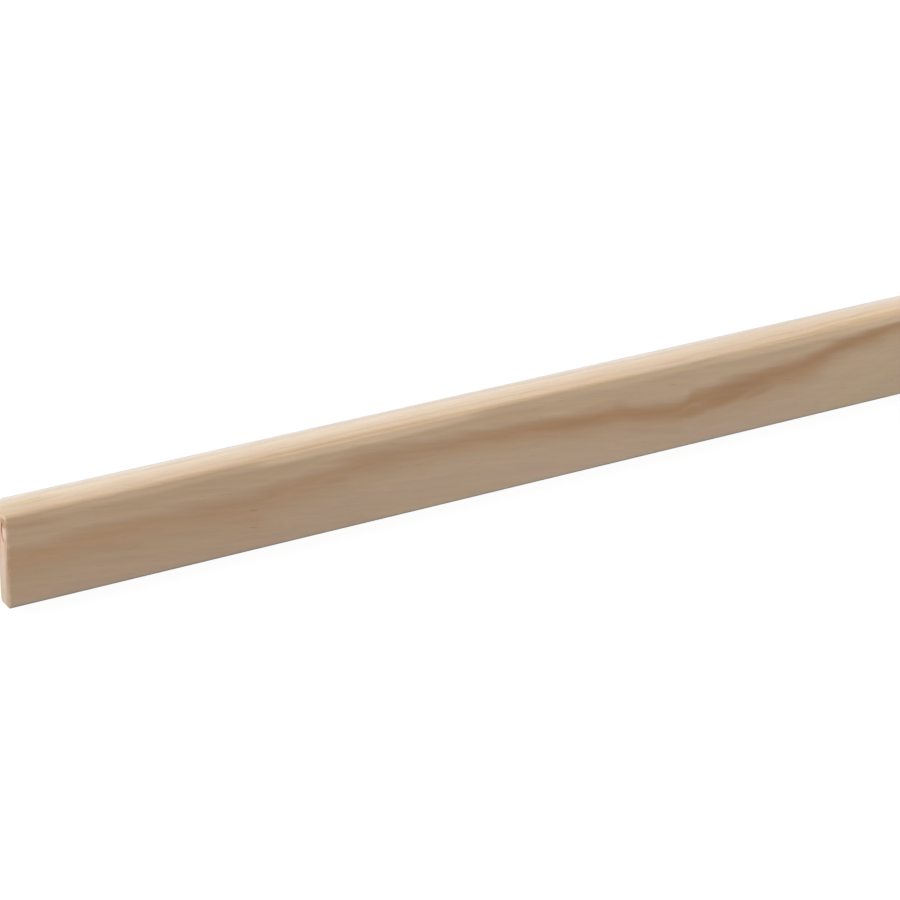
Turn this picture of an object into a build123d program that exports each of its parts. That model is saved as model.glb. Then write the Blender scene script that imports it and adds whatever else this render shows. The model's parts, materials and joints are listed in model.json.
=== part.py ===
from build123d import *
import math
import os

# A hockey stick moulding: one length of planed pine with an L-shaped section.
# The broad leg covers the edge of a panel, and the deeper head closes the panel's end.
# It lies with its show face up, on the leg's tip and on the head's shoulder, along +X.
# The origin is the middle of the moulding's length and width, at the floor. Sizes are in millimetres.

# Driving dimensions
length = 2400.0           # a full length, cut square at both ends
width = 28.0              # across the show face, from the leg's tip to the top of the head
thickness = 12.0          # from the show face to the back of the head
leg_thickness = 6.0       # from the show face to the floor of the rebate
head_height = 9.0         # along the show face, from the shoulder to the top of the head
nose_front_radius = 1.6   # where the show face turns into the top of the head
nose_back_radius = 2.0    # where the top of the head turns into its back
shoulder_radius = 0.8     # the eased arris between the head's back and the shoulder
rebate_radius = 0.5       # the cutter's corner at the root of the rebate
tip_front_radius = 0.6    # the eased arris of the leg's tip on the show face
tip_back_radius = 1.2     # the rounder arris of the leg's tip on the rebate side

# Each corner of the section: its place across the show face, its height, and its rounding.
# The section is drawn with the show face level at height 0 and the leg's tip at 0.
shoulder = width - head_height
corners = [
    (0.0, 0.0, tip_front_radius),
    (width, 0.0, nose_front_radius),
    (width, -thickness, nose_back_radius),
    (shoulder, -thickness, shoulder_radius),
    (shoulder, -leg_thickness, rebate_radius),
    (0.0, -leg_thickness, tip_back_radius),
]


def moulded_section():
    """The closed outline of the section, each corner rounded by its own cutter radius."""
    points = [(across, height) for across, height, rounding in corners]
    roundings = [rounding for across, height, rounding in corners]
    outline = Plane.YZ * FilletPolyline(*points, radius=roundings, close=True)
    return make_face(outline)


def resting_tilt():
    """Degrees that the show face leans when both back arrises, which are round, touch the floor."""
    across = (shoulder + shoulder_radius) - tip_back_radius
    drop = (thickness - shoulder_radius) - (leg_thickness - tip_back_radius)
    lean_of_centres = math.atan2(drop, across)
    lean_of_radii = math.asin((shoulder_radius - tip_back_radius) / math.hypot(across, drop))
    return math.degrees(lean_of_centres + lean_of_radii)


# The section run out to the full length, then laid down on the floor
stock = extrude(moulded_section(), amount=length / 2, dir=(1, 0, 0), both=True)
laid = Rot(X=resting_tilt()) * stock
box = laid.bounding_box()
moulding = Pos(0, -box.center().Y, -box.min.Z) * laid

os.makedirs("parts", exist_ok=True)
export_step(moulding, "parts/moulding.step")

size = moulding.bounding_box().size
print(f"moulding {size.X:.1f} x {size.Y:.2f} x {size.Z:.2f} mm, leaning {resting_tilt():.2f} degrees")
print(f"section {moulding.volume / length:.1f} square millimetres")
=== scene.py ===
# %% [markdown]
# A hockey stick moulding is a length of planed pine with an L-shaped section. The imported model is
# the fixed frame: it gives the stick's box, its lean and its place on the floor. This lesson models
# the stick again as a finer mesh in that same place, and gives it the wood of the real one.

# %% Load the frame
import json
import math

import bmesh
import bpy
from mathutils import Matrix, Vector


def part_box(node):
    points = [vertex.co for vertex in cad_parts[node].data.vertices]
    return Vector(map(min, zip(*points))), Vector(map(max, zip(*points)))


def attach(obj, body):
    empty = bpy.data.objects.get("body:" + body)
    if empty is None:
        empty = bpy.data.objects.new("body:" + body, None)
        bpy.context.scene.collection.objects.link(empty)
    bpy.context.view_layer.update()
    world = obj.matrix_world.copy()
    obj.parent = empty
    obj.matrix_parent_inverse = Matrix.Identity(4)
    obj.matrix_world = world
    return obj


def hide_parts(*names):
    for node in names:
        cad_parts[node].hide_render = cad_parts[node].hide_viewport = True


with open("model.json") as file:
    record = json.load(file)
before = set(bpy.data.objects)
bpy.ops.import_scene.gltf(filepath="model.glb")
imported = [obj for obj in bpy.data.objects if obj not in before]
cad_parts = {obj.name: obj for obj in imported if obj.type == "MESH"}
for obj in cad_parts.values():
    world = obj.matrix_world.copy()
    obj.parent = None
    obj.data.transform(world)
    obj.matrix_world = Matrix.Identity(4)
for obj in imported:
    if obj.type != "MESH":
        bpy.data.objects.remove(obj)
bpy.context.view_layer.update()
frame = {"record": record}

low, high = (Vector(corner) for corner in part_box("moulding"))
print("stick lies from", low[:], "to", high[:])

# %% [markdown]
# The section is the same one that the solid was run from, so its sizes are repeated here in metres.
# The lean isn't a size of its own: the stick lies on two round arrises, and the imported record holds
# the direction that the rebate's flat faces. Reading it from there keeps the mesh and the solid alike.

# %% Sizes of the section
MM = 1000.0  # millimetres in a metre
length = high.x - low.x
width = 0.028
thickness = 0.012
leg_thickness = 0.006
head_height = 0.009
shoulder = width - head_height

rebate_mount = next(m for m in frame["record"]["mounts"] if m["name"] == "rebate_face")
lean = math.atan2(rebate_mount["axis"][1], -rebate_mount["axis"][2])
print(f"length {length:.3f} m, the show face leans {math.degrees(lean):.2f} degrees")

# %% [markdown]
# Modelling with operators means selecting before each step. Two helpers do that. One makes an object
# the only selected one. The other picks faces or edges by a test on their place, which stays right
# when an earlier step changes their order.


# %% Helpers for selecting
def only(obj):
    """Make one object the only selected and active one."""
    bpy.ops.object.select_all(action="DESELECT")
    obj.select_set(True)
    bpy.context.view_layer.objects.active = obj


def pick(obj, kind, wanted):
    """In edit mode, select only the faces or edges that the test accepts, and say how many."""
    bpy.ops.mesh.select_mode(type="FACE" if kind == "faces" else "EDGE")
    bpy.ops.mesh.select_all(action="DESELECT")
    mesh = bmesh.from_edit_mesh(obj.data)
    chosen = [item for item in getattr(mesh, kind) if wanted(item)]
    for item in chosen:
        item.select_set(True)
    mesh.select_flush_mode()
    bmesh.update_edit_mesh(obj.data)
    return len(chosen)


# %% [markdown]
# The stick could be drawn as a flat outline and extruded. Here it is made as a moulder makes it: a
# plain board as thick as the leg, with the head left standing behind it. The board is a cube at its
# size, with the show face level at height 0 and the leg's tip at 0. One bisect marks the shoulder,
# and the strip beyond it is extruded back to the head's full depth.

# %% The board and its head
facing = 0.9
flat_within = math.radians(1)
head_drop = (0, 0, leg_thickness - thickness)

bpy.ops.object.select_all(action="DESELECT")
bpy.ops.mesh.primitive_cube_add(
    size=1,
    location=(0, width / 2, -leg_thickness / 2),
    scale=(length, width, leg_thickness),
)
stick = bpy.context.object
stick.name = "pine_stick"
only(stick)
bpy.ops.object.transform_apply(location=True, rotation=True, scale=True)

bpy.ops.object.mode_set(mode="EDIT")
bpy.ops.mesh.select_all(action="SELECT")
bpy.ops.mesh.bisect(plane_co=(0, shoulder, 0), plane_no=(0, 1, 0))
pick(stick, "faces", lambda f: f.normal.z < -facing and f.calc_center_median().y > shoulder)
bpy.ops.mesh.extrude_region_move(TRANSFORM_OT_translate={"value": head_drop})
bpy.ops.mesh.select_all(action="SELECT")
bpy.ops.mesh.dissolve_limited(angle_limit=flat_within)
print("plain L section:", len(bmesh.from_edit_mesh(stick.data).faces), "faces")

# %% [markdown]
# A moulder's knives leave no sharp corner. Each long arris is picked by its place in the section and
# bevelled by its own radius, with more segments on the large roundings, so that light runs over
# them smoothly. The root of the rebate gets its small cutter radius in the same way.

# %% Rounded arrises
near = 1e-6
round_profile = 0.5
# place across, height, radius, segments
arrises = {
    "tip on the show face": (0, 0, 0.0006, 6),
    "nose on the show face": (width, 0, 0.0016, 10),
    "nose at the back": (width, -thickness, 0.0020, 10),
    "shoulder": (shoulder, -thickness, 0.0008, 6),
    "root of the rebate": (shoulder, -leg_thickness, 0.0005, 5),
    "tip in the rebate": (0, -leg_thickness, 0.0012, 8),
}


def runs_along(edge, across, height):
    """True for the long edge at this place in the section."""
    return all(abs(v.co.y - across) < near and abs(v.co.z - height) < near for v in edge.verts)


def bevel(radius, segments):
    """Round the selected edges."""
    bpy.ops.mesh.bevel(
        offset_type="OFFSET",
        offset=radius,
        segments=segments,
        profile=round_profile,
        affect="EDGES",
    )


for name, (across, height, radius, segments) in arrises.items():
    found = pick(stick, "edges", lambda e: runs_along(e, across, height))
    bevel(radius, segments)
    print(f"{name}: {found} edge rounded to {radius * MM:.1f} mm")

# %% [markdown]
# The ends are sawn square. A saw leaves a slightly broken arris where the blade comes through, so
# every edge round the two end faces gets a small bevel. Seen close by, that thin line of light is
# what tells a cut end from a drawn one. The outline of the section is kept first, because the UV map
# needs to know how far round the section a point is.

# %% Sawn ends
broken_arris = 0.00022
broken_segments = 2
mesh = bmesh.from_edit_mesh(stick.data)
near_cap = next(f for f in mesh.faces if f.normal.x < -facing)
outline = [Vector((v.co.y, v.co.z)) for v in near_cap.verts]


def at_an_end(edge):
    """True for an edge that lies in one of the two end faces."""
    return all(abs(abs(v.co.x) - length / 2) < near for v in edge.verts)


found = pick(stick, "edges", at_an_end)
bevel(broken_arris, broken_segments)
bpy.ops.object.mode_set(mode="OBJECT")
print(f"{found} end edges broken, {len(stick.data.polygons)} faces")

# %% [markdown]
# High on the near end the saw has lifted a small flake. It is still held at the show face, and a
# curved crack runs behind it. A short path, drawn on the end face and given a round bevel that thins
# out at both ends, becomes the cutter of a Boolean. The bevel is one millimetre deep, so a point's
# radius is half the crack's width there in millimetres. Few segments and a little shaking leave it
# uneven, as torn wood is.

# %% A cutter for the crack
# place across, height, and half the crack's width there, in millimetres
crack_path = [
    (24.8, -2.4, 0.20), (23.8, -3.1, 0.50), (21.9, -3.6, 0.62), (20.2, -3.1, 0.52), (19.5, -1.9, 0.20),
]
weld = 0.00001
shake = 0.00005

bpy.ops.object.select_all(action="DESELECT")
bpy.ops.curve.primitive_nurbs_path_add(location=(0, 0, 0))
cutter = bpy.context.object
for point, (across, height, radius) in zip(cutter.data.splines[0].points, crack_path):
    point.co = (-length / 2, across / MM, height / MM, 1)
    point.radius = radius
cutter.data.bevel_depth = 1 / MM
cutter.data.bevel_resolution = 1
cutter.data.resolution_u = 3
cutter.data.use_fill_caps = True
only(cutter)
bpy.ops.object.convert(target="MESH")
bpy.ops.object.mode_set(mode="EDIT")
bpy.ops.mesh.select_all(action="SELECT")
bpy.ops.mesh.remove_doubles(threshold=weld)
bpy.ops.mesh.normals_make_consistent(inside=False)
bpy.ops.transform.vertex_random(offset=shake, uniform=1.0, seed=4)
bpy.ops.object.mode_set(mode="OBJECT")
print("cutter:", len(cutter.data.polygons), "faces")

# %% [markdown]
# A Boolean needs a closed cutter, which is why the end caps were merged with the tube. The exact
# solver is the right one here, because the cutter is tiny beside the stick. Once it is applied, the
# cutter has done its work and goes.

# %% The crack
crack = stick.modifiers.new("crack", "BOOLEAN")
crack.operation = "DIFFERENCE"
crack.solver = "EXACT"
crack.object = cutter
only(stick)
bpy.ops.object.modifier_apply(modifier="crack")
bpy.data.objects.remove(cutter)
print("with the crack:", len(stick.data.polygons), "faces")

# %% [markdown]
# The finish is worked out in space, so it needs no UV map to render. A baked copy does, and one
# island as long as the stick would waste nearly the whole picture. So the stick is cut across into
# four lengths, which can lie one above the other.

# %% Four lengths
rows = 4
only(stick)
bpy.ops.object.mode_set(mode="EDIT")
for cut in range(1, rows):
    bpy.ops.mesh.select_all(action="SELECT")
    bpy.ops.mesh.bisect(plane_co=(length * (cut / rows - 0.5), 0, 0), plane_no=(1, 0, 0))
bpy.ops.object.mode_set(mode="OBJECT")
print(f"{rows} lengths of {length / rows * MM:.0f} mm, {len(stick.data.polygons)} faces")

# %% [markdown]
# Each length is unrolled like a sleeve, slit at the root of the rebate, where a seam shows least. For
# that, a point has to know how far round the section it lies: it is dropped onto the nearest side of
# the outline that was kept, and the sides before that one are added up.

# %% The way round the section
rebate_root = Vector((shoulder, -leg_thickness))
root = min(range(len(outline)), key=lambda i: (outline[i] - rebate_root).length)
outline = outline[root:] + outline[:root] + [outline[root]]
run = [0.0]
for first, second in zip(outline, outline[1:]):
    run.append(run[-1] + (second - first).length)
girth = run[-1]


def way_round(point):
    """How far round the section a point lies, from the root of the rebate."""
    best = (1.0, 0.0)
    for i, (first, second) in enumerate(zip(outline, outline[1:])):
        side = second - first
        share = min(1.0, max(0.0, (point - first).dot(side) / side.length_squared))
        gap = (first + side * share - point).length
        best = min(best, (gap, run[i] + side.length * share))
    return best[1]


places = [way_round(Vector((v.co.y, v.co.z))) for v in stick.data.vertices]
print(f"section is {girth * MM:.1f} mm round")

# %% [markdown]
# In the map, the four sleeves lie one above the other, and the two ends are drawn larger in a strip
# of their own on top. A face that crosses the slit is moved on by one whole turn, so that it isn't
# stretched back over its row.

# %% A folded UV map
margin = 0.006
row_height = 0.21
end_facing = 0.5
far_end_start = 0.5
cap_base = rows * row_height + margin
cap_scale = (1 - cap_base - margin) / thickness
uv = stick.data.uv_layers.new(name="OFBake")


def map_end(face, corners):
    """Draw an end face in the strip: the near end on the left, the far end on the right."""
    start = margin + (far_end_start if face.center.x > 0 else 0)
    for loop, corner in zip(face.loop_indices, corners):
        height = cap_base + (thickness + corner.co.z) * cap_scale
        uv.data[loop].uv = (start + corner.co.y * cap_scale, height)


def map_side(face, corners):
    """Draw a long face in the row of its length."""
    row = min(rows - 1, int((face.center.x / length + 0.5) * rows))
    start = length * (row / rows - 0.5)
    turns = [places[i] for i in face.vertices]
    if max(turns) - min(turns) > girth / 2:
        turns = [turn + girth if turn < girth / 2 else turn for turn in turns]
    for loop, corner, turn in zip(face.loop_indices, corners, turns):
        along = margin + (corner.co.x - start) / (length / rows) * (1 - 2 * margin)
        round_it = margin + turn / girth * (row_height - 2 * margin)
        uv.data[loop].uv = (along, row * row_height + round_it)


for face in stick.data.polygons:
    corners = [stick.data.vertices[i] for i in face.vertices]
    if abs(face.normal.x) > end_facing:
        map_end(face, corners)
    else:
        map_side(face, corners)
print("UV map", uv.name, "with", len(uv.data), "corners")

# %% [markdown]
# The torn wood inside the crack gets a finish of its own later. Its faces are noted now, while the
# stick is still level and a place in it is easy to give.

# %% Faces of the crack
crack_into = (0.00001, 0.001)
crack_across = (0.018, 0.026)
crack_height = (-0.005, -0.001)


def within(value, limits):
    """True for a value between two limits."""
    return limits[0] < value < limits[1]


def cracked(face):
    """True for a face inside the crack."""
    into, across, height = face.center.x + length / 2, face.center.y, face.center.z
    return within(into, crack_into) and within(across, crack_across) and within(height, crack_height)


in_crack = [face.index for face in stick.data.polygons if cracked(face)]
print("crack on", len(in_crack), "faces")

# %% [markdown]
# In store the stick lies on its back: the leg's tip and the head's shoulder touch the floor, and the
# show face leans. The mesh is turned by that lean and moved onto the solid's box, and both steps are
# applied, so that the piece ends at the origin with its place in the mesh itself.

# %% Laying the stick down
smooth_angle = math.radians(24)
only(stick)
stick.rotation_euler.x = lean
bpy.ops.object.transform_apply(location=True, rotation=True, scale=True)
lowest = Vector((min(v.co[i] for v in stick.data.vertices) for i in range(3)))
shift = low - lowest
stick.location = shift
bpy.ops.object.transform_apply(location=True, rotation=True, scale=True)
bpy.ops.object.shade_smooth_by_angle(angle=smooth_angle)

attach(stick, "root")
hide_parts("moulding")
print("stick moved by", [round(step, 5) for step in shift])

# %% [markdown]
# Wood isn't a printed pattern: the rings fill the whole stick, and each face only shows where it cuts
# them. So the finish is worked out in the stock's own axes, in millimetres: along the length from the
# near end, across the show face from the leg's tip, and up from the show face. Every pattern reads
# that place. A few helpers keep the node trees short to write.


# %% Helpers for building node trees
def put(tree, kind, inputs, **settings):
    """Add a node, set it up, and feed its inputs with values or with the outputs of other nodes."""
    node = tree.nodes.new("ShaderNode" + kind)
    for name, value in settings.items():
        setattr(node, name, value)
    for socket, value in inputs.items():
        if isinstance(value, bpy.types.NodeSocket):
            tree.links.new(value, node.inputs[socket])
        else:
            node.inputs[socket].default_value = value
    return node


def calc(tree, operation, *values):
    """One step of arithmetic."""
    return put(tree, "Math", dict(enumerate(values)), operation=operation).outputs[0]


def rescale(tree, value, low_end, high_end, to_low=0.0, to_high=1.0):
    """A soft step from one value to another."""
    inputs = {
        "Value": value,
        "From Min": low_end,
        "From Max": high_end,
        "To Min": to_low,
        "To Max": to_high,
    }
    return put(tree, "MapRange", inputs, interpolation_type="SMOOTHSTEP").outputs["Result"]


# %% [markdown]
# Noise comes in round lumps, and wood has long thin ones, so one helper stretches it by a size in
# each direction. Another runs along a single value only. Two more turn a value into greys and blend
# two colours.


# %% Helpers for noise and colour
def noise(tree, place, spread, detail=2.0, roughness=0.5):
    """Noise whose lumps are as many millimetres long as spread says, along, across and up."""
    scaled = put(tree, "VectorMath", {0: place, 1: [1 / mm for mm in spread]}, operation="MULTIPLY")
    inputs = {"Vector": scaled.outputs[0], "Scale": 1.0, "Detail": detail, "Roughness": roughness}
    return put(tree, "TexNoise", inputs).outputs["Fac"]


def line_noise(tree, value, spread, detail=2.0):
    """Noise along one value only."""
    inputs = {"W": calc(tree, "DIVIDE", value, spread), "Scale": 1.0, "Detail": detail}
    return put(tree, "TexNoise", inputs, noise_dimensions="1D").outputs["Fac"]


def ramp(tree, value, stops):
    """A grey ramp from value and grey pairs."""
    node = put(tree, "ValToRGB", {"Fac": value})
    colours = node.color_ramp.elements
    for at, _ in stops[1:-1]:
        colours.new(at)
    for element, (at, grey) in zip(colours, stops):
        element.position = at
        element.color = (grey, grey, grey, 1)
    return node.outputs["Color"]


def tint(tree, factor, first, second, mode="MIX"):
    """Two colours blended by a factor."""
    node = put(tree, "Mix", {0: factor, 6: first, 7: second}, data_type="RGBA", blend_type=mode)
    return node.outputs[2]


# %% [markdown]
# Some of what a piece of wood shows follows no rule, such as the bend of its rings. A Float Curve
# node can follow points that are placed along the stick. It runs from 0 to 1 both ways, so
# the helper scales the points into it and the result back out. An effect that more than one material
# uses is a node group, with named inputs and outputs.

# %% Helpers for drawn lines and groups
drawn_length = 350


def drawn_line(tree, along, points, reach):
    """A value that follows points placed along the stick. It stays within reach of zero."""
    node = put(tree, "FloatCurve", {"Value": calc(tree, "DIVIDE", along, drawn_length)})
    line = node.mapping.curves[0]
    for at, _ in points[1:-1]:
        line.points.new(at / drawn_length, 0.5)
    for point, (at, value) in zip(line.points, points):
        point.location = (at / drawn_length, 0.5 + value / (2 * reach))
        point.handle_type = "AUTO_CLAMPED"
    node.mapping.extend = "HORIZONTAL"
    node.mapping.update()
    return calc(tree, "MULTIPLY_ADD", node.outputs[0], 2 * reach, -reach)


def new_group(name, inputs, outputs):
    """A shader node group that puts out values: its tree, its inputs, and its output node."""
    tree = bpy.data.node_groups.new(name, "ShaderNodeTree")
    for socket, kind in inputs.items():
        tree.interface.new_socket(socket, in_out="INPUT", socket_type="NodeSocket" + kind)
    for socket in outputs:
        tree.interface.new_socket(socket, in_out="OUTPUT", socket_type="NodeSocketFloat")
    return tree, tree.nodes.new("NodeGroupInput").outputs, tree.nodes.new("NodeGroupOutput")


# %% [markdown]
# A tree lays down one ring a year. Where the trunk wasn't quite straight, the rings bend, and a
# straight stick cut from it shows them swinging up and down its face. A drawn line gives the swing
# over the first lengths, and noise carries it on from there to the far end.

# %% The swing of the rings
swing_points = [
    (0, -0.39), (10, -0.33), (25, -0.05), (40, -0.12), (55, -0.19), (70, -0.20),
    (85, 0.15), (100, 0.55), (115, 0.85), (130, 0.76), (145, 0.53), (160, 0.32),
    (170, 0.20), (180, 0.05), (190, 0.05), (200, -0.40), (208, -0.68), (214, -0.80),
    (220, -0.22), (226, -0.12), (232, 0.02), (240, 0.04), (248, 0.30), (256, 0.34),
    (264, 0.65), (272, 1.22), (280, 1.58), (288, 1.90), (297, 2.35), (350, 1.90),
]
line_reach = 2.5
swing_spread = 170
swing_size = 6.0
swing_base = -4.5
handover = (300, 430)

rings, ring_in, ring_out = new_group(
    "growth_rings", {"Place": "Vector"}, ["Latewood", "Tone", "Warmth", "Swing"]
)
along, across, up = put(rings, "SeparateXYZ", {"Vector": ring_in["Place"]}).outputs
swing = drawn_line(rings, along, swing_points, line_reach)
carried_on = calc(rings, "MULTIPLY_ADD", line_noise(rings, along, swing_spread), swing_size, swing_base)
carried_on = calc(rings, "MULTIPLY", carried_on, rescale(rings, along, *handover))
swing = calc(rings, "ADD", swing, carried_on)
rings.links.new(swing, ring_out.inputs["Swing"])
print("swing:", len(swing_points), "points, then noise from", handover[0], "mm")

# %% [markdown]
# The rings are cylinders round a pith that lies well in front of the show face, so the face cuts one
# of them at a flat angle, and its latewood shows as a broad streak. A point's distance from the pith,
# less the swing, tells which year it belongs to. Noise stretched along the sloping grain is added to
# that distance, and feathers the streak's edges.

# %% The years
pith = (0, -10, 105)
ring_spacing = 5.8
streak_radius = 109.1
grain_slope = 0.22
feather_size = (30, 3.2, 3.2)
feather_stretch = (110, 180)
feather_depth = (1.8, 1.1)

slanted = calc(rings, "MULTIPLY_ADD", along, grain_slope, across)
sloping = put(rings, "CombineXYZ", {"X": along, "Y": slanted, "Z": up}).outputs[0]
feathers = calc(rings, "SUBTRACT", noise(rings, sloping, feather_size, detail=3), 0.5)
feathering = calc(rings, "MULTIPLY", feathers, rescale(rings, along, *feather_stretch, *feather_depth))

flat = put(rings, "CombineXYZ", {"Y": across, "Z": up})
from_pith = put(rings, "VectorMath", {0: flat.outputs[0], 1: pith}, operation="SUBTRACT")
radius = put(rings, "VectorMath", {0: from_pith.outputs[0]}, operation="LENGTH").outputs["Value"]
radius = calc(rings, "SUBTRACT", radius, swing)
feathered = calc(rings, "ADD", radius, feathering)
phase = calc(rings, "DIVIDE", calc(rings, "SUBTRACT", feathered, streak_radius), ring_spacing)
print("years of", ring_spacing, "mm round a pith", pith[2], "mm in front of the face")

# %% [markdown]
# Within a year, soft pale earlywood darkens slowly to a hard brown line of latewood, and then stops
# sharply. A ramp holds that change, and a second drawn line says how quickly the wood darkens before
# its darkest place. The latewood is weak below the show face's own skin. Fine noise over the same
# distance gives each year a tone and a warmth of its own.

# %% Latewood
year = [
    (0.00, 0.05), (0.03, 0.00), (0.45, 0.00), (0.54, 0.14), (0.61, 0.30), (0.68, 0.55), (0.74, 0.83),
    (0.80, 0.97), (0.84, 1.00), (0.89, 0.90), (0.93, 0.65), (0.97, 0.25), (1.00, 0.05),
]
darkest = 0.84
taper_points = [
    (0, 1.0), (100, 1.0), (130, 1.2), (145, 1.6), (160, 1.5), (172, 1.3), (190, 1.15), (200, 1.4),
    (214, 1.7), (220, 1.2), (226, 1.0), (240, 1.0), (264, 1.0), (272, 1.4), (288, 1.2), (350, 1.0),
]
latewood_skin = (-1.5, -0.2)
latewood_kept = (0.15, 1.0)
tone_spread = 0.6
warmth_spread = 1.3
warmth_range = (0.3, 0.7)

before = calc(rings, "SUBTRACT", calc(rings, "FRACT", phase), darkest)
tapered = calc(rings, "MULTIPLY", before, drawn_line(rings, along, taper_points, line_reach))
in_year = calc(rings, "ADD", calc(rings, "MINIMUM", before, tapered), darkest)
latewood = ramp(rings, in_year, year)
latewood = calc(rings, "MULTIPLY", latewood, rescale(rings, up, *latewood_skin, *latewood_kept))
tone = line_noise(rings, feathered, tone_spread, detail=3)
warmth = rescale(rings, line_noise(rings, feathered, warmth_spread), *warmth_range)
rings.links.new(latewood, ring_out.inputs["Latewood"])
rings.links.new(tone, ring_out.inputs["Tone"])
rings.links.new(warmth, ring_out.inputs["Warmth"])
print("growth rings:", len(rings.nodes), "nodes")

# %% [markdown]
# Between the rings, softwood is bundles of long fibres. They are far longer than they are wide, so
# the noise is stretched along the stick, and it slopes a little across it, as the grain does in most
# boards. Short dark dashes are resin canals that the planer has opened.

# %% Fibre
slope_across = 0.14
slope_up = 0.05
fibre_size = (26, 0.26, 0.26)
streak_size = (80, 1.5, 1.5)
dash_size = (8, 0.34, 0.34)
canal_range = (0.72, 0.79)

fibre, fibre_in, fibre_out = new_group(
    "wood_fibre", {"Place": "Vector"}, ["Fibre", "Streaks", "Canals"]
)
along, across, up = put(fibre, "SeparateXYZ", {"Vector": fibre_in["Place"]}).outputs
slanted = {
    "X": along,
    "Y": calc(fibre, "MULTIPLY_ADD", along, slope_across, across),
    "Z": calc(fibre, "MULTIPLY_ADD", along, slope_up, up),
}
sloping = put(fibre, "CombineXYZ", slanted).outputs[0]
fine = noise(fibre, sloping, fibre_size, detail=5, roughness=0.7)
streaks = noise(fibre, sloping, streak_size, detail=3, roughness=0.55)
dashes = noise(fibre, sloping, dash_size, detail=1)
canals = rescale(fibre, dashes, *canal_range)
fibre.links.new(fine, fibre_out.inputs["Fibre"])
fibre.links.new(streaks, fibre_out.inputs["Streaks"])
fibre.links.new(canals, fibre_out.inputs["Canals"])
print("fibre:", len(fibre.nodes), "nodes")

# %% [markdown]
# Single marks, such as a stray feather of latewood, a long canal or a bruise on the end, are soft
# ovals: full in the core and gone at the rim. Both finishes have some, so the oval is a group too. It
# reads a point on the face, and each mark gives its own middle, half size, slope and core.

# %% A soft oval
oval_inputs = {
    "Point": "Vector",
    "Middle": "Vector",
    "Half Size": "Vector",
    "Slope": "Float",
    "Core": "Float",
}
soft_oval, oval_in, oval_out = new_group("soft_oval", oval_inputs, ["Mark"])
step = put(soft_oval, "VectorMath", {0: oval_in["Point"], 1: oval_in["Middle"]}, operation="SUBTRACT")
step_x, step_y, _ = put(soft_oval, "SeparateXYZ", {"Vector": step.outputs[0]}).outputs
level = calc(soft_oval, "MULTIPLY_ADD", step_x, oval_in["Slope"], step_y)
levelled = put(soft_oval, "CombineXYZ", {"X": step_x, "Y": level}).outputs[0]
share = put(soft_oval, "VectorMath", {0: levelled, 1: oval_in["Half Size"]}, operation="DIVIDE")
away = put(soft_oval, "VectorMath", {0: share.outputs[0]}, operation="LENGTH").outputs["Value"]
soft_oval.links.new(rescale(soft_oval, away, 1.0, oval_in["Core"]), oval_out.inputs["Mark"])
print("soft oval:", len(soft_oval.nodes), "nodes")

# %% [markdown]
# Both finishes start from the same place and the same groups. One Mapping node turns the object's
# coordinates back by the lean and into millimetres. The other helpers place a group or a mark in a
# material, and make a colour lighter and darker.


# %% Helpers for the finishes
def stock_place(tree):
    """The place in the stock's own axes, in millimetres from the near end and the leg's tip."""
    turn = Matrix.Rotation(-lean, 3, "X")
    offset = Vector((length / 2, 0, 0)) - turn @ shift
    coordinates = put(tree, "TexCoord", {})
    inputs = {
        "Vector": coordinates.outputs["Object"],
        "Location": offset * MM,
        "Rotation": (-lean, 0, 0),
        "Scale": (MM, MM, MM),
    }
    return put(tree, "Mapping", inputs).outputs["Vector"]


def grouped(tree, group, place):
    """Place a node group in a material."""
    return put(tree, "Group", {"Place": place}, node_tree=group).outputs


def mark(tree, point, middle, half_size, slope=0.0, core=0.5):
    """Place one soft oval in a material, in millimetres on the face that the point runs over."""
    inputs = {
        "Point": point,
        "Middle": (*middle, 0),
        "Half Size": (*half_size, 1),
        "Slope": slope,
        "Core": core,
    }
    return put(tree, "Group", inputs, node_tree=soft_oval).outputs["Mark"]


def new_material(name):
    """A material with its tree and its Principled BSDF."""
    material = bpy.data.materials.new(name)
    material.use_nodes = True
    return material, material.node_tree, material.node_tree.nodes["Principled BSDF"]


def varied(tree, colour, value, amount):
    """A colour made lighter and darker by a value that swings about one half."""
    shade = calc(tree, "MULTIPLY_ADD", value, amount, 1 - amount / 2)
    return tint(tree, 1.0, colour, shade, mode="MULTIPLY")


# %% [markdown]
# Pine darkens where light has reached it. The show face is honey-coloured, deepest by the near end
# and a little paler towards the nose and along the stick. The colour goes through many small steps
# from here on, and each of them takes the colour so far and changes it where a mask says.

# %% Honey
honey = (0.677, 0.489, 0.335, 1)
pale_honey = (0.695, 0.511, 0.342, 1)
aged_honey = (0.606, 0.425, 0.286, 1)
low_shade = (0.990, 0.990, 0.990, 1)
high_shade = (1.050, 1.040, 0.990, 1)
aged_stretch = (50, 180)
pale_stretch = (240, 290)
shade_range = (6, 23)

planed, tree, shader = new_material("planed_pine")
place = stock_place(tree)
along, across, up = put(tree, "SeparateXYZ", {"Vector": place}).outputs
ring = grouped(tree, rings, place)
strand = grouped(tree, fibre, place)

colour = tint(tree, rescale(tree, along, *aged_stretch), aged_honey, honey)
colour = tint(tree, rescale(tree, along, *pale_stretch), colour, pale_honey)
face_shade = tint(tree, rescale(tree, across, *shade_range), low_shade, high_shade)
colour = tint(tree, 1.0, colour, face_shade, mode="MULTIPLY")
print("planed pine so far:", len(tree.nodes), "nodes")
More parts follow.
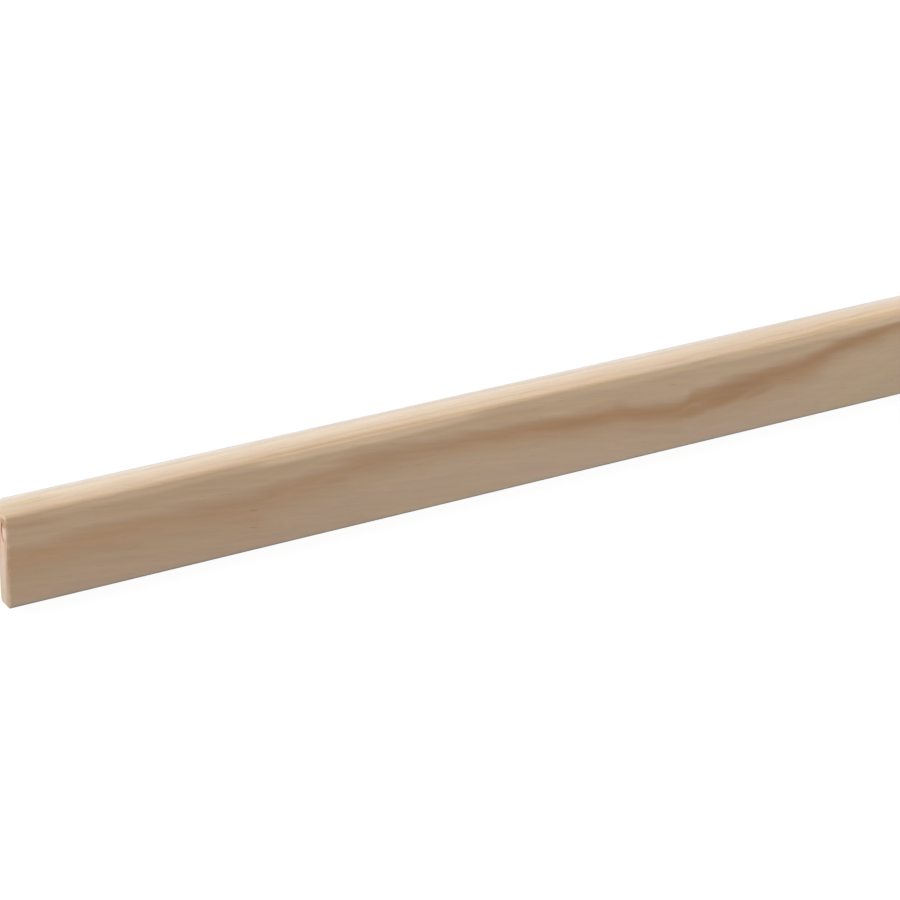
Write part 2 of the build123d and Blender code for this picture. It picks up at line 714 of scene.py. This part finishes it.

# %% [markdown]
# Deeper in lies the pale sapwood, which the top of the head cuts. Its border runs along the nose, and
# a drawn line moves it to and fro. The measure for it is how far round the corner a point lies: the
# place across less the height, which goes on growing from the show face over the nose to the back.
# A second, slow change with depth follows the rings' swing. Towards the back, the head is painted
# paler and greyer, a painted sheen for the glare of the white surroundings at that grazing edge.

# %% Sapwood, and a painted sheen at the back of the head
sapwood = (0.890, 0.735, 0.565, 1)
painted_back_sheen = (0.888, 0.798, 0.718, 1)
pale_line = [
    (0, 0.50), (20, 0.45), (36, 0.85), (52, 0.40), (70, 0.40), (86, -0.40), (110, -0.40),
    (130, -0.15), (148, 0.35), (180, 0.45), (196, 1.05), (212, 2.40), (228, 1.60), (246, 0.70),
    (262, 0.00), (276, -1.70), (300, -1.80), (350, 0.30),
]
nose_border = (27.4, 29.4)
under_face = (-1.2, -2.4)
outer_stretch = (60, 250)
outer_strength = (0.56, 0.44)
swing_share = 0.4
inner_depth = (2.5, 8.0)
inner_stretch = (215, 260)
inner_strength = (0.5, 0.3)
back_sheen_depth = (-6.2, -10.2)

round_corner = calc(tree, "SUBTRACT", across, up)
turn = calc(tree, "ADD", round_corner, drawn_line(tree, along, pale_line, line_reach))
outer = calc(tree, "MAXIMUM", rescale(tree, turn, *nose_border), rescale(tree, up, *under_face))
depth = calc(tree, "MULTIPLY_ADD", ring["Swing"], swing_share, calc(tree, "MULTIPLY", up, -1.0))
most_inner = rescale(tree, along, *inner_stretch, *inner_strength)
inner = rescale(tree, depth, *inner_depth, 0, most_inner)
most_outer = rescale(tree, along, *outer_stretch, *outer_strength)
share = calc(tree, "MULTIPLY_ADD", outer, most_outer, inner)
colour = tint(tree, share, colour, sapwood)
# Painted sheen: the back of the head's top, and its back face, are made paler and greyer, for the glare
# of the white surroundings there.
colour = tint(tree, rescale(tree, up, *back_sheen_depth), colour, painted_back_sheen)
print("sapwood border drawn through", len(pale_line), "points")

# %% [markdown]
# The streak is the latewood of the one ring that the show face cuts. Here and there a stray feather
# of it lies beside the streak, as a soft oval with a slope of its own. The whole streak is paler by
# the near end.

# %% The streak
latewood_brown = (0.535, 0.306, 0.154, 1)
pale_latewood = (0.568, 0.358, 0.204, 1)
# place along and across, half length and half width, slope, strength
stray_feathers = [
    (70, 10.5, 14, 3.4, 0.22, 0.75),
    (99, 16.2, 10, 2.6, 0.05, 0.95),
    (5, 24.7, 15, 2.6, 0.12, 0.70),
    (157, 22.5, 18, 4.0, 0.10, 0.20),
    (185, 18.8, 13, 2.4, 0.10, 0.35),
    (217, 11.4, 17, 3.8, 0.05, 0.92),
    (231, 13.0, 19, 4.6, -0.10, 1.00),
    (243, 12.8, 13, 3.6, -0.12, 0.75),
]
feather_core = 0.25
show_skin = (-2.0, -0.5)
fade_stretch = (283, 298)
fade = (1.0, 0.75)
brown_stretch = (130, 180)

on_show_face = rescale(tree, up, *show_skin)
face_point = put(tree, "CombineXYZ", {"X": along, "Y": across}).outputs[0]
brown = calc(tree, "MULTIPLY", ring["Latewood"], rescale(tree, along, *fade_stretch, *fade))
for start, level, half_length, half_width, slope, strength in stray_feathers:
    feather = mark(tree, face_point, (start, level), (half_length, half_width), slope, feather_core)
    feather = calc(tree, "MULTIPLY", calc(tree, "MULTIPLY", feather, strength), on_show_face)
    brown = calc(tree, "MAXIMUM", brown, feather)
streak = tint(tree, rescale(tree, along, *brown_stretch), pale_latewood, latewood_brown)
colour = tint(tree, brown, colour, streak)
print(len(stray_feathers), "stray feathers beside the streak")

# %% [markdown]
# A pale warm band runs along the nose, just before it turns. It is partly a paler band in the wood
# and partly a painted highlight, where the face starts to curve towards the lamp. Its lower edge
# wanders, its upper edge stops where the sapwood starts, and a drawn line makes it come and go along
# the stick.

# %% The band on the nose, partly a painted highlight
nose_band_and_highlight = (0.900, 0.660, 0.440, 1)
band_strength = [
    (0, 0.20), (40, 0.45), (66, 0.40), (80, 1.00), (92, 1.20), (124, 1.15), (140, 0.95), (158, 0.20),
    (180, 0.40), (200, 0.65), (220, 0.70), (240, 1.15), (290, 1.20), (350, 0.50),
]
band_reach = 1.2
wander_spread = 26
band_edge = (24.2, 26.2)
band_top_stretch = (245, 270)
band_top_range = (28.0, 27.7)
band_fade = 1.3

edge = calc(tree, "ADD", line_noise(tree, along, wander_spread), across)
band_top = rescale(tree, along, *band_top_stretch, *band_top_range)
below_nose = rescale(tree, round_corner, band_top, calc(tree, "SUBTRACT", band_top, band_fade))
band = calc(tree, "MULTIPLY", rescale(tree, edge, *band_edge), below_nose)
band = calc(tree, "MULTIPLY", band, calc(tree, "SUBTRACT", 1.0, outer))
band = calc(tree, "MULTIPLY", band, drawn_line(tree, along, band_strength, band_reach))
# The band is partly the wood's own pale band and partly a painted highlight where the nose starts to
# curve.
colour = tint(tree, band, colour, nose_band_and_highlight)
print("band drawn through", len(band_strength), "points")

# %% [markdown]
# No two years have quite the same colour. The tone and the warmth of the rings show as fine lines,
# clearest on the top of the head, which cuts them steeply. The nose is a little warmer where it
# turns, and so is the top by the near end, where hands hold the stick.

# %% Lines of the years
nose_warmth = (1.000, 0.992, 0.955, 1)
end_warmth = (0.920, 0.890, 0.820, 1)
cool_year = (1.005, 0.995, 1.050, 1)
warm_year = (0.995, 1.005, 0.950, 1)
tone_change = 0.10
on_face = 0.25
nose_start = (25.0, 27.5)
nose_end = (32.0, 29.0)
held_place = {"middle": (9, -5.2), "half_size": (14, 3.4), "core": 0.2}

colour = varied(tree, colour, ring["Tone"], tone_change)
on_top = calc(tree, "MULTIPLY_ADD", outer, 1 - on_face, on_face)
year_line = calc(tree, "MULTIPLY", calc(tree, "SUBTRACT", ring["Tone"], 0.5), on_top)
colour = varied(tree, colour, calc(tree, "ADD", year_line, 0.5), tone_change)
round_nose = calc(tree, "MULTIPLY", rescale(tree, turn, *nose_start), rescale(tree, turn, *nose_end))
colour = tint(tree, round_nose, colour, nose_warmth, mode="MULTIPLY")
top_point = put(tree, "CombineXYZ", {"X": along, "Y": up}).outputs[0]
held = calc(tree, "MULTIPLY", outer, mark(tree, top_point, **held_place))
colour = tint(tree, held, colour, end_warmth, mode="MULTIPLY")
year_hue = tint(tree, ring["Warmth"], cool_year, warm_year)
colour = tint(tree, on_top, colour, year_hue, mode="MULTIPLY")
print("planed pine so far:", len(tree.nodes), "nodes")

# %% [markdown]
# Over all of this lies the fibre, as slow streaks and fine lines. The resin canals are thin dark
# dashes. Two larger ones are placed one by one, and so is the dark heart of the streak, where resin has
# soaked it.

# %% Fibres and resin
resin_brown = (0.340, 0.190, 0.095, 1)
streak_change = 0.18
fibre_change = 0.17
opened_canals = [(74.0, 12.3), (73.8, 7.1)]
canal_size = (1.7, 0.3)
canal_strength = 0.32
heart_place = {"middle": (238, 15.0), "half_size": (17, 3.6), "slope": -0.05, "core": 0.2}
heart_strength = 0.22

colour = varied(tree, colour, strand["Streaks"], streak_change)
colour = varied(tree, colour, strand["Fibre"], fibre_change)
canals = strand["Canals"]
for middle in opened_canals:
    canal = mark(tree, face_point, middle, canal_size, grain_slope)
    canals = calc(tree, "MAXIMUM", canals, calc(tree, "MULTIPLY", canal, on_show_face))
colour = tint(tree, calc(tree, "MULTIPLY", canals, canal_strength), colour, resin_brown)
dark_heart = calc(tree, "MULTIPLY", mark(tree, face_point, **heart_place), on_show_face)
colour = tint(tree, calc(tree, "MULTIPLY", dark_heart, heart_strength), colour, resin_brown)
print(len(opened_canals), "opened canals placed by hand")

# %% [markdown]
# Handling has greyed the leg's thin tip, and the same tint also holds painted light: a bluish glow
# bounced up from the white floor onto the tip's rounding. At both ends the saw has torn the outermost
# fibres, so the fresh pale wood shows through in a ragged line.

# %% Worn edges, and painted floor bounce on the tip
tip_grey_and_bounce = (0.890, 0.990, 1.090, 1)
tip_edge = (1.9, 0.4)
torn_size = (3.0, 2.4, 2.4)
torn_reach = 2.4
torn_range = (-0.4, -1.4)
torn_strength = 0.5

# Greying from handling, together with painted bluish light bounced from the floor onto the tip.
tip_wear_and_bounce = calc(tree, "MULTIPLY", rescale(tree, across, *tip_edge), on_show_face)
colour = tint(tree, tip_wear_and_bounce, colour, tip_grey_and_bounce, mode="MULTIPLY")
to_end = calc(tree, "MINIMUM", along, calc(tree, "SUBTRACT", length * MM, along))
ragged = calc(tree, "MULTIPLY_ADD", noise(tree, place, torn_size, detail=4), -torn_reach, to_end)
colour = tint(tree, rescale(tree, ragged, *torn_range, 0, torn_strength), colour, sapwood)
tree.links.new(colour, shader.inputs["Base Color"])
print("planed pine so far:", len(tree.nodes), "nodes")

# %% [markdown]
# The colour is done, and the surface follows. The roughness falls a little on the hard latewood and
# rises with the fibre. A shallow bump carries the fibre and the knife marks that a moulder leaves
# across the grain. They are about a hundredth of a millimetre deep, far too fine to model along such
# a long stick.

# %% Gloss and relief
plain_roughness = 0.50
latewood_polish = 0.10
fibre_roughness = 0.16
latewood_height = 0.7
knife_height = 0.3
knife_pitch = 1.9
planed_relief = 9e-6

gloss = calc(tree, "MULTIPLY_ADD", ring["Latewood"], -latewood_polish, plain_roughness)
gloss = calc(tree, "MULTIPLY_ADD", strand["Fibre"], fibre_roughness, gloss)
tree.links.new(gloss, shader.inputs["Roughness"])

knife_marks = calc(tree, "SINE", calc(tree, "MULTIPLY", along, 2 * math.pi / knife_pitch))
relief = calc(tree, "MULTIPLY_ADD", ring["Latewood"], latewood_height, strand["Fibre"])
relief = calc(tree, "MULTIPLY_ADD", knife_marks, knife_height, relief)
bump = put(tree, "Bump", {"Strength": 1.0, "Distance": planed_relief, "Height": relief})
tree.links.new(bump.outputs["Normal"], shader.inputs["Normal"])
stick.data.materials.append(planed)
print("planed pine:", len(tree.nodes), "nodes")

# %% [markdown]
# The sawn end cuts the same fibres across, so it is rougher and takes the light more evenly. It is
# pinker than the planed faces, and greyer along the leg. The rings come out as brown arcs, and the
# fibres as a fine speckle.

# %% Sawn end grain
end_honey = (0.710, 0.500, 0.335, 1)
end_sapwood = (0.920, 0.700, 0.560, 1)
end_orange = (0.915, 0.662, 0.502, 1)
end_grey = (0.870, 0.714, 0.553, 1)
end_brown = (0.560, 0.340, 0.200, 1)
orange_range = (12, 18)
grey_range = (11, 5)
honey_range = (-0.6, -2.8)
end_change = {"tone": 0.20, "fibre": 0.30, "streaks": 0.14}

sawn, tree, shader = new_material("sawn_pine_end")
place = stock_place(tree)
along, across, up = put(tree, "SeparateXYZ", {"Vector": place}).outputs
ring = grouped(tree, rings, place)
strand = grouped(tree, fibre, place)

colour = tint(tree, rescale(tree, across, *orange_range), end_sapwood, end_orange)
colour = tint(tree, rescale(tree, across, *grey_range), colour, end_grey)
colour = tint(tree, rescale(tree, up, *honey_range), end_honey, colour)
colour = tint(tree, ring["Latewood"], colour, end_brown)
colour = varied(tree, colour, ring["Tone"], end_change["tone"])
colour = varied(tree, colour, strand["Fibre"], end_change["fibre"])
colour = varied(tree, colour, strand["Streaks"], end_change["streaks"])
print("sawn end so far:", len(tree.nodes), "nodes")

# %% [markdown]
# The lifted flake on the near end is fresh pale wood, and the wood round it is stained brown. These
# are soft ovals again, this time over the end face, and they fade out behind it so that the far end
# stays clean.

# %% Stains on the near end
end_tan = (0.740, 0.550, 0.380, 1)
flake_pink = (0.950, 0.720, 0.575, 1)
# colour, strength, place across and height, half sizes
end_marks = [
    (end_tan, 0.75, (27.9, -3.8), (1.2, 2.4)),
    (end_brown, 0.85, (25.0, -1.9), (1.7, 2.8)),
    (flake_pink, 0.70, (27.0, -1.2), (0.8, 0.9)),
    (flake_pink, 0.85, (21.8, -1.5), (2.0, 1.3)),
    (end_brown, 0.60, (19.9, -2.4), (1.0, 0.8)),
]
near_end_depth = (5.0, 3.0)

near_end = rescale(tree, along, *near_end_depth)
end_point = put(tree, "CombineXYZ", {"X": across, "Y": up}).outputs[0]
for stain_colour, strength, middle, size in end_marks:
    stain = calc(tree, "MULTIPLY", mark(tree, end_point, middle, size), near_end)
    colour = tint(tree, calc(tree, "MULTIPLY", stain, strength), colour, stain_colour)
tree.links.new(colour, shader.inputs["Base Color"])
print(len(end_marks), "marks on the near end")

# %% [markdown]
# A saw's teeth leave shallow slanting lines. They are a sine across the end, pushed about a little by
# the streaks so that they don't look ruled.

# %% Saw lines
saw_pitch = 0.7
saw_slant = 0.45
saw_wander = 1.2
saw_height = 0.22
sawn_relief = 3e-5

saw_way = calc(tree, "MULTIPLY_ADD", up, saw_slant, across)
saw_way = calc(tree, "MULTIPLY_ADD", strand["Streaks"], saw_wander, saw_way)
saw_lines = calc(tree, "SINE", calc(tree, "MULTIPLY", saw_way, 2 * math.pi / saw_pitch))
relief = calc(tree, "MULTIPLY_ADD", saw_lines, saw_height, strand["Fibre"])
bump = put(tree, "Bump", {"Strength": 1.0, "Distance": sawn_relief, "Height": relief})
tree.links.new(bump.outputs["Normal"], shader.inputs["Normal"])
shader.inputs["Roughness"].default_value = 0.8
stick.data.materials.append(sawn)
print("sawn end:", len(tree.nodes), "nodes")

# %% [markdown]
# The torn fibre in the crack behind the flake is painted a plain darker brown, which is painted shade
# for the inside of the crack. With that the three finishes are complete, and each face gets one of
# them by the way it faces.

# %% Torn fibre painted with shade, and a finish for each face
# Painted shade: the inside of the crack is coloured darker to stand for the shade in it.
crack_shade_brown = (0.630, 0.370, 0.228, 1)
torn_change = 0.5
torn, tree, shader = new_material("torn_fibre")
strand = grouped(tree, fibre, stock_place(tree))
colour = varied(tree, crack_shade_brown, strand["Fibre"], torn_change)
tree.links.new(colour, shader.inputs["Base Color"])
shader.inputs["Roughness"].default_value = 0.9
stick.data.materials.append(torn)

on_planed, on_sawn, on_torn = range(3)
sawn_facing = 0.3
for face in stick.data.polygons:
    face.material_index = on_sawn if abs(face.normal.x) > sawn_facing else on_planed
for index in in_crack:
    stick.data.polygons[index].material_index = on_torn
print("finishes:", [material.name for material in stick.data.materials])

# %% [markdown]
# The stick lies on a plain pale floor. The floor's own paint is a middling grey, so that it throws
# little light back, but the camera sees it lit up to white. The stick still darkens the light
# that falls on it, so a soft shadow stays under the tip.

# %% The floor
floor_size = 12
floor_grey = (0.24, 0.24, 0.24, 1)
floor_glow = 0.90
white = (1, 1, 1, 1)


def seen_rays(tree):
    """One for what the camera sees, straight or by reflection or refraction, otherwise zero."""
    path = put(tree, "LightPath", {})
    seen = calc(tree, "MAXIMUM", path.outputs["Is Camera Ray"], path.outputs["Is Glossy Ray"])
    return calc(tree, "MAXIMUM", seen, path.outputs["Is Transmission Ray"])


bpy.ops.object.select_all(action="DESELECT")
bpy.ops.mesh.primitive_plane_add(size=floor_size, location=(0, 0, 0))
floor = bpy.context.object
floor.name = "floor"
paint, tree, shader = new_material("floor_paint")
shader.inputs["Base Color"].default_value = floor_grey
shader.inputs["Roughness"].default_value = 1.0
shader.inputs["Specular IOR Level"].default_value = 0.0
shader.inputs["Emission Color"].default_value = white
tree.links.new(calc(tree, "MULTIPLY", seen_rays(tree), floor_glow), shader.inputs["Emission Strength"])
floor.data.materials.append(paint)
print("floor of", floor_size, "m")

# %% [markdown]
# The light is that of a plain studio: a weak even world, and one large soft lamp behind and to the
# left. It falls full on the top of the head and on the near end, and only grazes the show face, which
# is why that face is so much darker. A wide sun lamp does this the same way all along the stick. Its
# strength is given as a share of pi, at which it lights a white face that looks straight at it to 1.

# %% World and lamp
world_level = 0.37
lamp_share = 0.81
lamp_spread = math.radians(50)
to_lamp = Vector((-0.70, 0.63, 0.335))

world = bpy.data.worlds.new("studio")
bpy.context.scene.world = world
world.use_nodes = True
tree = world.node_tree
background = tree.nodes["Background"]
background.inputs["Color"].default_value = white
level = calc(tree, "MULTIPLY_ADD", seen_rays(tree), 1 - world_level, world_level)
tree.links.new(level, background.inputs["Strength"])

bpy.ops.object.light_add(type="SUN")
lamp = bpy.context.object
lamp.name = "soft_lamp"
lamp.data.energy = lamp_share * math.pi
lamp.data.angle = lamp_spread
lamp.rotation_euler = to_lamp.to_track_quat("Z", "Y").to_euler()
print("lamp stands towards", [round(part, 3) for part in to_lamp])

# %% [markdown]
# The camera looks down on the near end with a long lens, so that the stick runs out of the picture
# on the right. Its place and angles are those from which the solid's outline covers the real one's.

# %% Camera
camera_place = (-1.524273, 0.157363, 0.889515)
camera_angles = (-4.43192, -28.66327, -9.55791)
bpy.ops.object.camera_add(
    location=camera_place,
    rotation=[math.radians(angle) for angle in camera_angles],
)
camera = bpy.context.object
camera.name = "camera"
camera.data.sensor_width = 36
camera.data.lens = 141.10
camera.data.clip_start = 0.01
bpy.context.scene.camera = camera
bpy.context.scene.view_settings.view_transform = "Standard"
print("camera at", camera_place, "with a lens of", round(camera.data.lens, 1), "mm")
